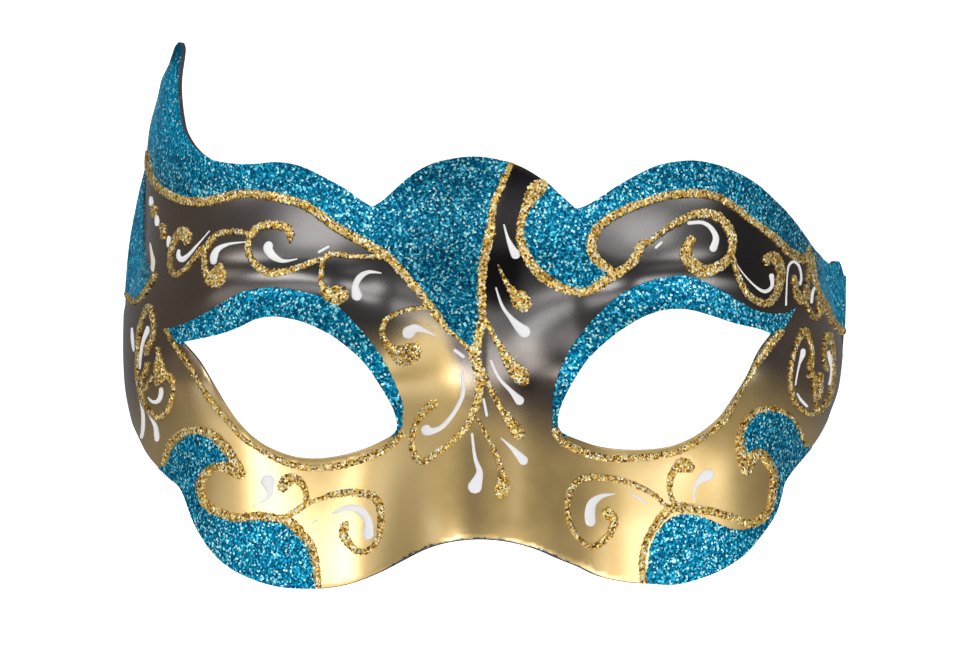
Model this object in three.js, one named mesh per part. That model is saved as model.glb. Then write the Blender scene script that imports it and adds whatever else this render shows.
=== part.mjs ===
// A Venetian half mask: one thin moulded shell with two eye openings, an arched lower edge over the
// nose, a wavy top edge and one tall horn. It lies face up on its two straight side rims.
// Millimetres. +Z points out of the face, +Y to the forehead and +X away from the horn.

import * as THREE from 'three';
import { ConvexHull } from 'three/addons/math/ConvexHull.js';

// Driving sizes
const WALL = 1.6;              // thickness of the shell
const HALF_SPAN = 86.6;        // half the width across the side rims
const FACE_DEPTH = 56;         // height of the brow over the plane the rims lie in
const NOSE_RISE = 13.8;        // how far the nose stands out at the arch
const BROW_RISE = 2.6;         // ridge over each eye
const SOCKET_SINK = 8.8;       // hollow around each eye
const CHEEK_RISE = 2.1;        // swell below each eye
const FOLD_HEIGHT = 11;        // where the side turns into a standing flange
const FRONT_FLATNESS = 4.2;    // how flat the front stays before it rounds down to the sides
const PLAIN_STEP = 3.4;        // spacing of the surface points on the face
const EDGE_STEP = 2.3;         // spacing of the points along the edges

// The face is laid out flat while it is meshed: a quarter turn of the side takes this many millimetres.
const UNROLL = 70;
const FOLD_AT = UNROLL * Math.PI / 2;
const FLANGE_STRETCH = 2.6;

// Eye openings: how much more upright than square to the shell they are cut, and how far that reaches in
const CUT_UPRIGHT = 3;
const CUT_REACH = 5;

const clamp = (value, low, high) => Math.min(Math.max(value, low), high);

const smooth = (from, to, value) => {
  const t = clamp((value - from) / (to - from), 0, 1);
  return t * t * (3 - 2 * t);
};

const bell = (distance, width) => Math.exp(-((distance / width) ** 2));

// A smooth function through [position, value] stations.
function through(stations) {
  const last = stations.length - 1;
  const slope = stations.map((_, i) => {
    const before = stations[Math.max(i - 1, 0)];
    const after = stations[Math.min(i + 1, last)];
    return (after[1] - before[1]) / (after[0] - before[0]);
  });
  return (at) => {
    const x = clamp(at, stations[0][0], stations[last][0]);
    let i = 0;
    while (i < last - 1 && x > stations[i + 1][0]) i += 1;
    const [x0, v0] = stations[i];
    const [x1, v1] = stations[i + 1];
    const h = x1 - x0;
    const t = (x - x0) / h;
    const rise = (1 + 2 * t) * (1 - t) ** 2 * v0 + t * t * (3 - 2 * t) * v1;
    return rise + t * (1 - t) ** 2 * h * slope[i] + t * t * (t - 1) * h * slope[i + 1];
  };
}

function neverBelowZero(profile) {
  return (at) => Math.max(profile(at), 0);
}

// Profiles along the height of the face, each as [y, value]
const crown = through([
  [-66, FACE_DEPTH - 12], [-50, FACE_DEPTH - 11], [-30, FACE_DEPTH - 10], [-8, FACE_DEPTH - 3],
  [12, FACE_DEPTH], [30, FACE_DEPTH - 9], [45, FACE_DEPTH - 14], [66, FACE_DEPTH - 22],
]);
const hornSideRim = through([
  [-46, 82.5], [-31, 83], [-25, 84.7], [-18, 86.1], [-10, HALF_SPAN], [0, 86.5], [8, 86.1], [18, 85.1],
  [29, 83], [37, 81.1], [45, 79.9], [52, 77.7], [56, 76.6], [59.4, 74.8], [63, 73.4], [66, 71.9],
]);
const plainSideRim = through([
  [-46, 81.5], [-30, 81.5], [-25, 82.4], [-18, 84.8], [-10, 85.9], [-3, 86.4], [4, HALF_SPAN],
  [12, HALF_SPAN], [30, 86], [66, 84],
]);
const hornLift = neverBelowZero(through([[-46, 0], [30, 0], [37, 0.5], [45, 5], [54, 14], [66, 25]]));
const hornSideFlange = neverBelowZero(through([
  [-46, 0], [0, 0], [6, 1.5], [14, 4.6], [22, 3.9], [30, 1.8], [38, 0], [66, 0],
]));
const plainSideFlange = neverBelowZero(through([
  [-46, 0], [-10, 0], [0, 2.5], [12, 6], [30, 6], [66, 6],
]));
const FLANGES = {
  horn: { rim: hornSideRim, inset: hornSideFlange, widest: 4.6, lift: hornLift, fullness: 2.4 },
  plain: { rim: plainSideRim, inset: plainSideFlange, widest: 6, lift: () => 0, fullness: 1.7 },
};
const sideOf = (x) => (x < 0 ? FLANGES.horn : FLANGES.plain);

// Ridge line over one eye, from the temple towards the nose, as [distance from the middle, y]
const BROW_LINE = [[80, 7], [62, 10], [44, 10], [30, 5], [21, -3]];
const browPath = new THREE.SplineCurve(BROW_LINE.map(([x, y]) => new THREE.Vector2(x, y))).getPoints(48);

function distanceToPath(path, x, y) {
  let nearest = Infinity;
  for (let i = 1; i < path.length; i += 1) {
    const a = path[i - 1];
    const dx = path[i].x - a.x;
    const dy = path[i].y - a.y;
    const t = clamp(((x - a.x) * dx + (y - a.y) * dy) / (dx * dx + dy * dy), 0, 1);
    nearest = Math.min(nearest, Math.hypot(x - a.x - t * dx, y - a.y - t * dy));
  }
  return nearest;
}

// Modelling of the face over the plain wrapped form
function relief(x, y) {
  const out = Math.abs(x);
  const noseHalf = 21.4 - 1.8 * smooth(-50, -8, y);
  const nose = NOSE_RISE * smooth(18, -62, y) * Math.exp(-((out / noseHalf) ** 2.8));
  const browFade = smooth(-16, 4, y) * smooth(82, 62, out) * smooth(20, 36, out);
  const brow = BROW_RISE * bell(distanceToPath(browPath, out, y), 9) * browFade;
  const socket = SOCKET_SINK * bell(out - 44, 37) * bell(y + 13.8, 11.5);
  const cheek = CHEEK_RISE * bell(out - 57, 15.6) * bell(y + 24, 17);
  const browGap = 0.7 * bell(x, 9) * bell(y - 14, 16);
  return nose + brow + cheek - socket - browGap;
}

// The front surface. `across` is the unrolled distance from the middle, `y` the height on the face.
function frontPoint(across, y) {
  const side = sideOf(across);
  const rim = side.rim(y);
  const fold = rim - side.inset(y);
  const low = side.lift(y);
  const foldZ = low + FOLD_HEIGHT * side.inset(y) / side.widest;
  const beyond = Math.max(Math.abs(across) - FOLD_AT, 0) / FLANGE_STRETCH;
  const turn = Math.sin(Math.min(Math.abs(across), FOLD_AT) / UNROLL);
  const x = Math.sign(across) * (turn * fold + beyond);
  if (beyond > 0) {
    const drop = beyond / Math.max(rim - fold, 1e-6);
    return new THREE.Vector3(x, y, foldZ - (foldZ - low) * Math.min(drop, 1));
  }
  const dome = foldZ + (crown(y) - foldZ) * Math.max(1 - turn ** FRONT_FLATNESS, 0) ** (1 / side.fullness);
  return new THREE.Vector3(x, y, dome + relief(x, y) * smooth(0, 16, fold - Math.abs(x)));
}

const rimAcross = (side, y) => FOLD_AT + side.inset(y) * FLANGE_STRETCH;

// Front elevation (x, y) to the unrolled sheet (across, y)
function unroll(x, y) {
  const side = sideOf(x);
  const fold = side.rim(y) - side.inset(y);
  const out = Math.abs(x);
  const across = out < fold ? UNROLL * Math.asin(out / fold) : FOLD_AT + (out - fold) * FLANGE_STRETCH;
  return new THREE.Vector2(Math.sign(x) * Math.min(across, rimAcross(side, y)), y);
}

// Unit normal out of the face; it leans only inward at a rim, where the sheet ends.
function frontNormal(across, y) {
  const reach = 0.5;
  const limit = rimAcross(sideOf(across), y);
  const right = frontPoint(clamp(across + reach, -limit, limit), y);
  const left = frontPoint(clamp(across - reach, -limit, limit), y);
  const up = frontPoint(across, y + reach);
  const down = frontPoint(across, y - reach);
  return right.sub(left).cross(up.sub(down)).normalize();
}

// Edge of the mask seen from the front, clockwise from the foot of the rim on the horn side
const HORN_RIM = { from: -25, to: 63.5 };
const PLAIN_RIM = { from: 9.4, to: -25 };
const HORN_INNER = [
  [-72.1, 64.5], [-71.6, 62.9], [-72.1, 58.9], [-72.5, 53.5], [-71.9, 48], [-70.7, 43.1], [-67.8, 39],
  [-64, 36.5], [-59.2, 35.5], [-54.2, 35.3], [-48.7, 35.7], [-43.2, 34.8], [-37.8, 32.3],
  [-32.4, 29.3], [-29, 26.8], [-26.2, 25.1],
];
const MIDDLE_CREST = [
  [-26.2, 25.1], [-23.6, 26.8], [-20.2, 30], [-16.9, 32.8], [-12.8, 35.1], [-8.1, 36.4], [-2.3, 37],
  [3.5, 36.2], [8.6, 34.6], [14.1, 31.2], [17.5, 28.1], [21.2, 24.6],
];
const PLAIN_CREST = [
  [21.2, 24.6], [24.5, 25.9], [31.4, 30.4], [38.5, 34.2], [43.2, 35.6], [48.9, 36.1], [54.6, 35.1],
  [59.8, 33], [63.9, 30.6], [67.5, 27.5], [71.2, 23.9], [74.4, 20.1], [77.5, 16.1], [79.7, 14.1],
  [81.9, 12.5],
];
const SMALL_TIP = [[81.9, 12.5], [83.3, 12.3], [84.2, 13], [85, 12.7], [85.6, 11.2], [86.1, 9.4]];
const PLAIN_CHEEK = [
  [82.3, -25.2], [79.6, -29.3], [76.1, -33.2], [72.8, -36.7], [70.7, -39.7], [69.8, -43.1], [68.3, -47.2],
  [65.1, -51.7], [61, -56.2], [56, -59.5], [50.5, -61.7], [44.6, -63.1], [38.7, -62.9],
  [32.8, -62.4], [26.8, -61], [22.2, -58.7],
];
const NOSE_ARCH = [
  [22.2, -58.7], [17.3, -56.6], [12.6, -54.5], [8, -53.1], [3.5, -52.3], [-1.1, -52],
  [-5.8, -52.3], [-10.3, -53.1], [-14.9, -54.7], [-19.8, -57.3],
];
const HORN_CHEEK = [
  [-19.8, -57.3], [-24.5, -59.9], [-30.4, -62.5], [-36.3, -63.8], [-42.1, -64.05], [-48, -63.65],
  [-54, -62.05], [-59.9, -59.2], [-64.4, -55.1], [-67.8, -49.9], [-69.5, -46], [-70.6, -42.9],
  [-72, -40.4], [-74.5, -38.4], [-78.1, -35.3], [-80.8, -32.2], [-83.1, -28.1], [-84.7, -25.1],
];
const HORN_SIDE_EYE = [
  [-70.8, -6.4], [-66.9, -10.8], [-63.1, -16.9], [-59.3, -22.9], [-55.5, -27.3], [-51.2, -30.5],
  [-45.5, -32.8], [-39.8, -33.5], [-33.7, -32.8], [-28.1, -31.2], [-23.5, -29.1], [-21.1, -27.5],
  [-20.5, -25.6], [-21.6, -21.6], [-24.4, -16.7], [-27.7, -11.8], [-31.4, -8.1], [-35.6, -4.9],
  [-40.2, -2.5], [-44.4, -1.1], [-49.1, -0.4], [-53.4, -1.1], [-57.7, -3.1], [-63, -4.8],
  [-70.8, -6.4],
];
const PLAIN_SIDE_EYE = [
  [67.3, -4.5], [63.6, -3.2], [58.3, -2], [53, -0.3], [47.8, 1.1], [43.1, 1.3], [38.4, 0.2],
  [33.7, -2.2], [29.1, -5.5], [24.4, -9.9], [21.2, -14.5], [18.8, -18.8], [17.3, -22.6],
  [17, -25.4], [17.9, -27.3], [22.1, -29.2], [26.8, -30.7], [32.4, -31.4], [38, -31.4],
  [43.2, -30.7], [48, -28.9], [51.8, -26.5], [55.2, -23.5], [58.5, -18.9], [61.4, -14.5],
  [64.2, -8.6], [67.3, -4.5],
];

// Points every `step` millimetres along a smooth line, laid out on the unrolled sheet.
// The last point is left to the next line.
function edgeLine(points, step) {
  const curve = new THREE.SplineCurve(points.map(([x, y]) => new THREE.Vector2(x, y)));
  return evenly(curve.getPoints(points.length * 12).map((p) => unroll(p.x, p.y)), step);
}

function rimLine(direction, side, { from, to }) {
  const samples = 120;
  const line = [];
  for (let i = 0; i <= samples; i += 1) {
    const y = from + (to - from) * i / samples;
    line.push(new THREE.Vector2(direction * rimAcross(side, y), y));
  }
  return evenly(line, EDGE_STEP);
}

function evenly(line, step) {
  const reach = [0];
  for (let i = 1; i < line.length; i += 1) reach.push(reach[i - 1] + line[i].distanceTo(line[i - 1]));
  const total = reach[reach.length - 1];
  const count = Math.max(Math.round(total / step), 1);
  const even = [];
  let i = 1;
  for (let k = 0; k < count; k += 1) {
    const wanted = total * k / count;
    while (reach[i] < wanted) i += 1;
    even.push(line[i - 1].clone().lerp(line[i], (wanted - reach[i - 1]) / (reach[i] - reach[i - 1])));
  }
  return even;
}

function outlineLoop() {
  const fine = EDGE_STEP / 2;
  return [
    ...rimLine(-1, FLANGES.horn, HORN_RIM),
    ...edgeLine([[-hornSideRim(HORN_RIM.to), HORN_RIM.to], HORN_INNER[0]], EDGE_STEP),
    ...edgeLine(HORN_INNER, fine),
    ...edgeLine(MIDDLE_CREST, EDGE_STEP),
    ...edgeLine(PLAIN_CREST, EDGE_STEP),
    ...edgeLine(SMALL_TIP, fine),
    ...rimLine(1, FLANGES.plain, PLAIN_RIM),
    ...edgeLine(PLAIN_CHEEK, EDGE_STEP),
    ...edgeLine(NOSE_ARCH, EDGE_STEP),
    ...edgeLine(HORN_CHEEK, EDGE_STEP),
  ];
}

function isInside(loop, x, y) {
  let inside = false;
  loop.forEach((a, i) => {
    const b = loop[(i + 1) % loop.length];
    if ((a.y > y) !== (b.y > y) && x < a.x + (b.x - a.x) * (y - a.y) / (b.y - a.y)) inside = !inside;
  });
  return inside;
}

// Surface points: rows of a triangular grid plus one row down each fold
function surfacePoints(outline, holes) {
  const edges = [outline, ...holes].flat();
  const folds = [];
  for (let y = -6; y < 36; y += PLAIN_STEP * 0.8) {
    for (const side of [-1, 1]) folds.push(new THREE.Vector2(side * FOLD_AT, y));
  }
  const kept = [];
  const isClear = (p, others, gap) => others.every((other) => other.distanceTo(p) > gap);
  const keep = (p, gap) => {
    if (!isInside(outline, p.x, p.y) || holes.some((hole) => isInside(hole, p.x, p.y))) return;
    if (isClear(p, edges, gap) && isClear(p, kept, gap)) kept.push(p);
  };
  folds.forEach((p) => keep(p, PLAIN_STEP * 0.4));
  const rowGap = PLAIN_STEP * Math.sqrt(3) / 2;
  const rows = Math.ceil(140 / rowGap);
  const columns = Math.ceil(130 / PLAIN_STEP);
  for (let row = 0; row < rows; row += 1) {
    for (let column = -columns; column <= columns; column += 1) {
      const shift = row % 2 === 0 ? 0.25 : 0.75;
      keep(new THREE.Vector2((column + shift) * PLAIN_STEP, -70 + row * rowGap), PLAIN_STEP * 0.6);
    }
  }
  return kept;
}

// Triangles over flat points: the underside of the hull of the points lifted onto a bowl.
// They turn anticlockwise, and those outside the outline or in a hole are dropped.
function triangulate(points, outline, holes) {
  const lifted = points.map((p) => new THREE.Vector3(p.x, p.y, p.x * p.x + p.y * p.y));
  const order = new Map(lifted.map((p, i) => [p, i]));
  const hull = new ConvexHull().setFromPoints(lifted);
  const triangles = [];
  for (const face of hull.faces) {
    if (face.normal.z > -1e-9) continue;
    const corners = [face.edge, face.edge.next, face.edge.prev].map((edge) => order.get(edge.head().point));
    const [a, b, c] = corners.map((i) => points[i]);
    const x = (a.x + b.x + c.x) / 3;
    const y = (a.y + b.y + c.y) / 3;
    if (!isInside(outline, x, y) || holes.some((hole) => isInside(hole, x, y))) continue;
    const turn = (b.x - a.x) * (c.y - a.y) - (b.y - a.y) * (c.x - a.x);
    triangles.push(turn > 0 ? corners : [corners[0], corners[2], corners[1]]);
  }
  return triangles;
}

// Inner face under a front point. Rims that touch the table are cut level with it. Beside an eye
// opening the inner face leans over with the cut, which runs nearly straight down.
function backPoint(front, normal, isRim, toOpening) {
  if (isRim) {
    const inward = new THREE.Vector3(-normal.x, -normal.y, 0);
    return front.clone().addScaledVector(inward.normalize(), WALL / Math.hypot(normal.x, normal.y));
  }
  const upright = CUT_UPRIGHT * (1 - smooth(0, CUT_REACH, toOpening));
  const cut = new THREE.Vector3(normal.x, normal.y, normal.z + upright).normalize();
  const back = front.clone().addScaledVector(cut, -WALL / cut.dot(normal));
  return back.setZ(Math.max(back.z, 0));
}

function maskShell() {
  const outline = outlineLoop();
  const holes = [edgeLine(HORN_SIDE_EYE, EDGE_STEP), edgeLine(PLAIN_SIDE_EYE, EDGE_STEP)];
  const loops = [outline, ...holes];
  const points = [...loops.flat(), ...surfacePoints(outline, holes)];
  const front = points.map((p) => frontPoint(p.x, p.y));
  const back = points.map((p, i) => {
    const isRim = i < outline.length && front[i].z < 0.01;
    const toOpening = Math.min(...holes.flat().map((edge) => edge.distanceTo(p)));
    return backPoint(front[i], frontNormal(p.x, p.y), isRim, toOpening);
  });

  const faces = [];
  for (const [a, b, c] of triangulate(points, outline, holes)) {
    faces.push([a, b, c], [c + points.length, b + points.length, a + points.length]);
  }
  let start = 0;
  for (const loop of loops) {
    const area = loop.reduce((sum, p, i) => sum + p.cross(loop[(i + 1) % loop.length]), 0);
    const isSolidOnLeft = (area > 0) === (loop === outline);
    for (let i = 0; i < loop.length; i += 1) {
      const here = start + i;
      const next = start + (i + 1) % loop.length;
      const [a, b] = isSolidOnLeft ? [here, next] : [next, here];
      faces.push([b, a, a + points.length], [b, a + points.length, b + points.length]);
    }
    start += loop.length;
  }

  const geometry = new THREE.BufferGeometry();
  const corners = [...front, ...back].flatMap((p) => [p.x, p.y, Math.abs(p.z) < 1e-6 ? 0 : p.z]);
  geometry.setAttribute('position', new THREE.Float32BufferAttribute(corners, 3));
  geometry.setIndex(faces.flat());
  return geometry;
}

function goldPaint() {
  return new THREE.MeshStandardMaterial({ color: 0xb59a5c, roughness: 0.38, metalness: 0.6 });
}

// The origin sits under the middle of the bounding box, on the table.
function centredOnTable(geometry) {
  geometry.computeBoundingBox();
  const middle = geometry.boundingBox.getCenter(new THREE.Vector3());
  return geometry.translate(-middle.x, -middle.y, -geometry.boundingBox.min.z);
}

const mask = new THREE.Group();
mask.name = 'venetian_mask';
const shell = new THREE.Mesh(centredOnTable(maskShell()), goldPaint());
shell.name = 'mask_shell';
mask.add(shell);

export default mask;
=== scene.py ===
import math
import bpy
import numpy as np
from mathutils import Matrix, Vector
from mathutils.geometry import delaunay_2d_cdt
from mathutils.kdtree import KDTree


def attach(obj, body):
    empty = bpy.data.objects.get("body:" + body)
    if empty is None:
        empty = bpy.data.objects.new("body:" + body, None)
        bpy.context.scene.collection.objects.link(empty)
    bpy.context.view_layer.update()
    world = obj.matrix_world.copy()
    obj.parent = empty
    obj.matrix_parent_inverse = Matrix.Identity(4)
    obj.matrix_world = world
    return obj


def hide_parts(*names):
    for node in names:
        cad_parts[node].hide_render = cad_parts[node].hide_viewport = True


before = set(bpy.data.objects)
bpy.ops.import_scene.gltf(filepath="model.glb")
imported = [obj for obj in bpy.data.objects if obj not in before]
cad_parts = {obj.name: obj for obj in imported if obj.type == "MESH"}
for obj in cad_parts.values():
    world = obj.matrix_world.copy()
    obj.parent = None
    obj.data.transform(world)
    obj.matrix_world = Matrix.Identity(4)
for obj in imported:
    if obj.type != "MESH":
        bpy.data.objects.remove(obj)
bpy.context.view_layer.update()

MM = 0.001

# Camera: straight over the face. One photograph pixel is PIXEL millimetres wide at table height.
PHOTO_WIDTH, PHOTO_HEIGHT = 960, 665
PIXEL = 0.24
CAMERA_X, CAMERA_Y, CAMERA_Z = -1.14, -4.13, 1600.0
SENSOR = 36.0

# Form of the shell. It is meshed on an unrolled sheet, on which a quarter turn of the side takes FOLD_AT.
WALL = 1.6
HALF_SPAN = 86.6
FACE_DEPTH = 56.0
NOSE_RISE, BROW_RISE, SOCKET_SINK, CHEEK_RISE = 13.8, 2.6, 8.8, 2.1
NOSE_HALF, NOSE_PINCH = 21.4, 1.8
FOLD_HEIGHT = 11.0
FRONT_FLATNESS = 4.2
UNROLL = 70.0
FOLD_AT = UNROLL * math.pi / 2
FLANGE_STRETCH = 2.6
SHEET_REACH, SHEET_RISE = 128, 66
SHELL_STEP = 1.05
EDGE_STEP = 0.8
EDGE_ROUND = 0.3
CUT_UPRIGHT, CUT_REACH = 3.0, 5.0

# Coats on the shell; widths are corrected by the spreads, in pixels
TEAL_GRAIN, TEAL_COAT, TEAL_RELIEF, TEAL_SEED = 0.31, 0.15, 0.05, 11
GOLD_GRAIN, GOLD_COAT, GOLD_BEAD, GOLD_RELIEF, GOLD_SEED = 0.30, 0.14, 0.38, 0.08, 12
GOLD_SPREAD, WHITE_SPREAD = 0.7, -0.35
GOLD_RAGGED = 0.13
WHITE_COAT, WHITE_STEP, THIN_STROKE = 0.16, 0.9, 1.2
FLAKE_SEED, SCROLL_SEED = 20, 40
COAT_ROOT = 0.3
TABLE_GAP = 0.02


def smooth(start, stop, value):
    t = np.clip((value - start) / (stop - start), 0, 1)
    return t * t * (3 - 2 * t)


def bell(distance, width):
    return np.exp(-(distance / width) ** 2)


def through(stations, lowest=-1e9):
    """A smooth function through (position, value) stations."""
    xs, vs = np.array(stations, float).T
    slope = np.gradient(vs)
    slope[1:-1] = (vs[2:] - vs[:-2]) / (xs[2:] - xs[:-2])
    slope[0] = (vs[1] - vs[0]) / (xs[1] - xs[0])
    slope[-1] = (vs[-1] - vs[-2]) / (xs[-1] - xs[-2])

    def value(at):
        x = np.clip(at, xs[0], xs[-1])
        i = np.clip(np.searchsorted(xs, x, side="right") - 1, 0, len(xs) - 2)
        h = xs[i + 1] - xs[i]
        t = (x - xs[i]) / h
        rise = (1 + 2 * t) * (1 - t) ** 2 * vs[i] + t * t * (3 - 2 * t) * vs[i + 1]
        rise += t * (1 - t) ** 2 * h * slope[i] + t * t * (t - 1) * h * slope[i + 1]
        return np.maximum(rise, lowest)
    return value


def spline(points, per=12, closed=False):
    """Points along a smooth line through `points`; any further columns are carried along."""
    p = np.array(points, float)
    ends = (p[-1:], p[:2]) if closed else (p[:1], p[-1:])
    p = np.vstack([ends[0], p, ends[1]])
    t = (np.arange(per) / per)[:, None]
    rows = []
    for a, b, c, d in zip(p[:-3], p[1:-2], p[2:-1], p[3:]):
        v0, v1 = (c - a) / 2, (d - b) / 2
        rows.append((2 * b - 2 * c + v0 + v1) * t ** 3 + (3 * c - 3 * b - 2 * v0 - v1) * t * t + v0 * t + b)
    if not closed:
        rows.append(p[-2:-1])
    return np.vstack(rows)


# Form of the face


crown = through([
    (-66, FACE_DEPTH - 12), (-50, FACE_DEPTH - 11), (-30, FACE_DEPTH - 10), (-8, FACE_DEPTH - 3),
    (12, FACE_DEPTH), (30, FACE_DEPTH - 9), (45, FACE_DEPTH - 14), (66, FACE_DEPTH - 22)])
horn_side_rim = through([
    (-46, 82.5), (-31, 83), (-25, 84.7), (-18, 86.1), (-10, HALF_SPAN), (0, 86.5), (8, 86.1), (18, 85.1),
    (29, 83), (37, 81.1), (45, 79.9), (52, 77.7), (56, 76.6), (59.4, 74.8), (63, 73.4), (66, 71.9)])
plain_side_rim = through([
    (-46, 81.5), (-30, 81.5), (-25, 82.4), (-18, 84.8), (-10, 85.9), (-3, 86.4), (4, HALF_SPAN),
    (12, HALF_SPAN), (30, 86), (66, 84)])
horn_lift = through([(-46, 0), (30, 0), (37, 0.5), (45, 5), (54, 14), (66, 25)], 0)
horn_side_flange = through([
    (-46, 0), (0, 0), (6, 1.5), (14, 4.6), (22, 3.9), (30, 1.8), (38, 0), (66, 0)], 0)
plain_side_flange = through([(-46, 0), (-10, 0), (0, 2.5), (12, 6), (30, 6), (66, 6)], 0)
HORN_SIDE_WIDEST, PLAIN_SIDE_WIDEST = 4.6, 6.0
HORN_SIDE_FULLNESS, PLAIN_SIDE_FULLNESS = 2.4, 1.7
BROW_LINE = spline([(80, 7), (62, 10), (44, 10), (30, 5), (21, -3)], 8)


def distance_to_path(path, x, y):
    nearest = np.full(np.shape(x), 1e9)
    for (ax, ay), (bx, by) in zip(path[:-1], path[1:]):
        dx, dy = bx - ax, by - ay
        t = np.clip(((x - ax) * dx + (y - ay) * dy) / (dx * dx + dy * dy), 0, 1)
        nearest = np.minimum(nearest, np.hypot(x - ax - t * dx, y - ay - t * dy))
    return nearest


def relief(x, y):
    """Modelling of the face over the plain wrapped form."""
    out = np.abs(x)
    nose_half = NOSE_HALF - NOSE_PINCH * smooth(-50, -8, y)
    nose = NOSE_RISE * smooth(18, -62, y) * np.exp(-(out / nose_half) ** 2.8)
    brow_fade = smooth(-16, 4, y) * smooth(82, 62, out) * smooth(20, 36, out)
    brow = BROW_RISE * bell(distance_to_path(BROW_LINE, out, y), 9) * brow_fade
    socket = SOCKET_SINK * bell(out - 44, 37) * bell(y + 13.8, 11.5)
    cheek = CHEEK_RISE * bell(out - 57, 15.6) * bell(y + 24, 17)
    return nose + brow + cheek - socket - 0.7 * bell(x, 9) * bell(y - 14, 16)


def side_at(across, y):
    """Rim, fold, height of the rim, height of the fold and fullness on the side of each point."""
    horn = across < 0
    rim = np.where(horn, horn_side_rim(y), plain_side_rim(y))
    inset = np.where(horn, horn_side_flange(y), plain_side_flange(y))
    low = np.where(horn, horn_lift(y), 0.0)
    fold_z = low + FOLD_HEIGHT * inset / np.where(horn, HORN_SIDE_WIDEST, PLAIN_SIDE_WIDEST)
    return rim, rim - inset, low, fold_z, np.where(horn, HORN_SIDE_FULLNESS, PLAIN_SIDE_FULLNESS)


def front_point(across, y):
    """The front surface; `across` is the unrolled distance from the middle."""
    rim, fold, low, fold_z, fullness = side_at(across, y)
    beyond = np.maximum(np.abs(across) - FOLD_AT, 0) / FLANGE_STRETCH
    turn = np.sin(np.minimum(np.abs(across), FOLD_AT) / UNROLL)
    x = np.sign(across) * (turn * fold + beyond)
    dome = fold_z + (crown(y) - fold_z) * np.maximum(1 - turn ** FRONT_FLATNESS, 0) ** (1 / fullness)
    dome += relief(x, y) * smooth(0, 16, fold - np.abs(x))
    drop = np.minimum(beyond / np.maximum(rim - fold, 1e-6), 1)
    z = np.where(beyond > 0, fold_z - (fold_z - low) * drop, dome)
    return np.stack([x, y, z], -1)


def rim_across(sign, y):
    rim, fold = side_at(sign * np.ones_like(y), y)[:2]
    return FOLD_AT + (rim - fold) * FLANGE_STRETCH


def unroll(x, y):
    """Front elevation to the unrolled sheet."""
    rim, fold = side_at(x, y)[:2]
    out = np.abs(x)
    inner = UNROLL * np.arcsin(np.clip(out / fold, 0, 1))
    across = np.where(out < fold, inner, FOLD_AT + (out - fold) * FLANGE_STRETCH)
    return np.sign(x) * np.minimum(across, FOLD_AT + (rim - fold) * FLANGE_STRETCH)


def front_normal(across, y, reach=0.5):
    limit = rim_across(np.where(across < 0, -1.0, 1.0), y)
    right = front_point(np.clip(across + reach, -limit, limit), y)
    left = front_point(np.clip(across - reach, -limit, limit), y)
    normal = np.cross(right - left, front_point(across, y + reach) - front_point(across, y - reach))
    return normal / np.linalg.norm(normal, axis=-1, keepdims=True)


def to_photo(points):
    """Photograph pixel at which the camera sees each point."""
    scale = PIXEL * (1 - points[..., 2] / CAMERA_Z)
    px = PHOTO_WIDTH / 2 + (points[..., 0] - CAMERA_X) / scale
    py = PHOTO_HEIGHT / 2 - (points[..., 1] - CAMERA_Y) / scale
    return px, py


def on_sheet(px, py):
    """Unrolled place of the point of the face that the camera sees at a photograph pixel."""
    z = np.full(np.shape(px), 30.0)
    for _ in range(40):
        scale = PIXEL * (1 - z / CAMERA_Z)
        x = CAMERA_X + (px - PHOTO_WIDTH / 2) * scale
        y = CAMERA_Y + (PHOTO_HEIGHT / 2 - py) * scale
        across = unroll(x, y)
        z = 0.5 * z + 0.5 * front_point(across, y)[..., 2]
    return across, y


# Edge of the mask, clockwise, seen from the front


HORN_RIM = (-25, 63.5)
PLAIN_RIM = (9.4, -25)
HORN_INNER = [
    (-72.1, 64.5), (-71.6, 62.9), (-72.1, 58.9), (-72.5, 53.5), (-71.9, 48), (-70.7, 43.1), (-67.8, 39),
    (-64, 36.5), (-59.2, 35.5), (-54.2, 35.3), (-48.7, 35.7), (-43.2, 34.8), (-37.8, 32.3),
    (-32.4, 29.3), (-29, 26.8), (-26.2, 25.1)]
MIDDLE_CREST = [
    (-26.2, 25.1), (-23.6, 26.8), (-20.2, 30), (-16.9, 32.8), (-12.8, 35.1), (-8.1, 36.4), (-2.3, 37),
    (3.5, 36.2), (8.6, 34.6), (14.1, 31.2), (17.5, 28.1), (21.2, 24.6)]
PLAIN_CREST = [
    (21.2, 24.6), (24.5, 25.9), (31.4, 30.4), (38.5, 34.2), (43.2, 35.6), (48.9, 36.1), (54.6, 35.1),
    (59.8, 33), (63.9, 30.6), (67.5, 27.5), (71.2, 23.9), (74.4, 20.1), (77.5, 16.1), (79.7, 14.1),
    (81.9, 12.5)]
SMALL_TIP = [(81.9, 12.5), (83.3, 12.3), (84.2, 13), (85, 12.7), (85.6, 11.2), (86.1, 9.4)]
PLAIN_CHEEK = [
    (82.3, -25.2), (79.6, -29.3), (76.1, -33.2), (72.8, -36.7), (70.7, -39.7), (69.8, -43.1), (68.3, -47.2),
    (65.1, -51.7), (61, -56.2), (56, -59.5), (50.5, -61.7), (44.6, -63.1), (38.7, -62.9),
    (32.8, -62.4), (26.8, -61), (22.2, -58.7)]
NOSE_ARCH = [
    (22.2, -58.7), (17.3, -56.6), (12.6, -54.5), (8, -53.1), (3.5, -52.3), (-1.1, -52),
    (-5.8, -52.3), (-10.3, -53.1), (-14.9, -54.7), (-19.8, -57.3)]
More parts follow.
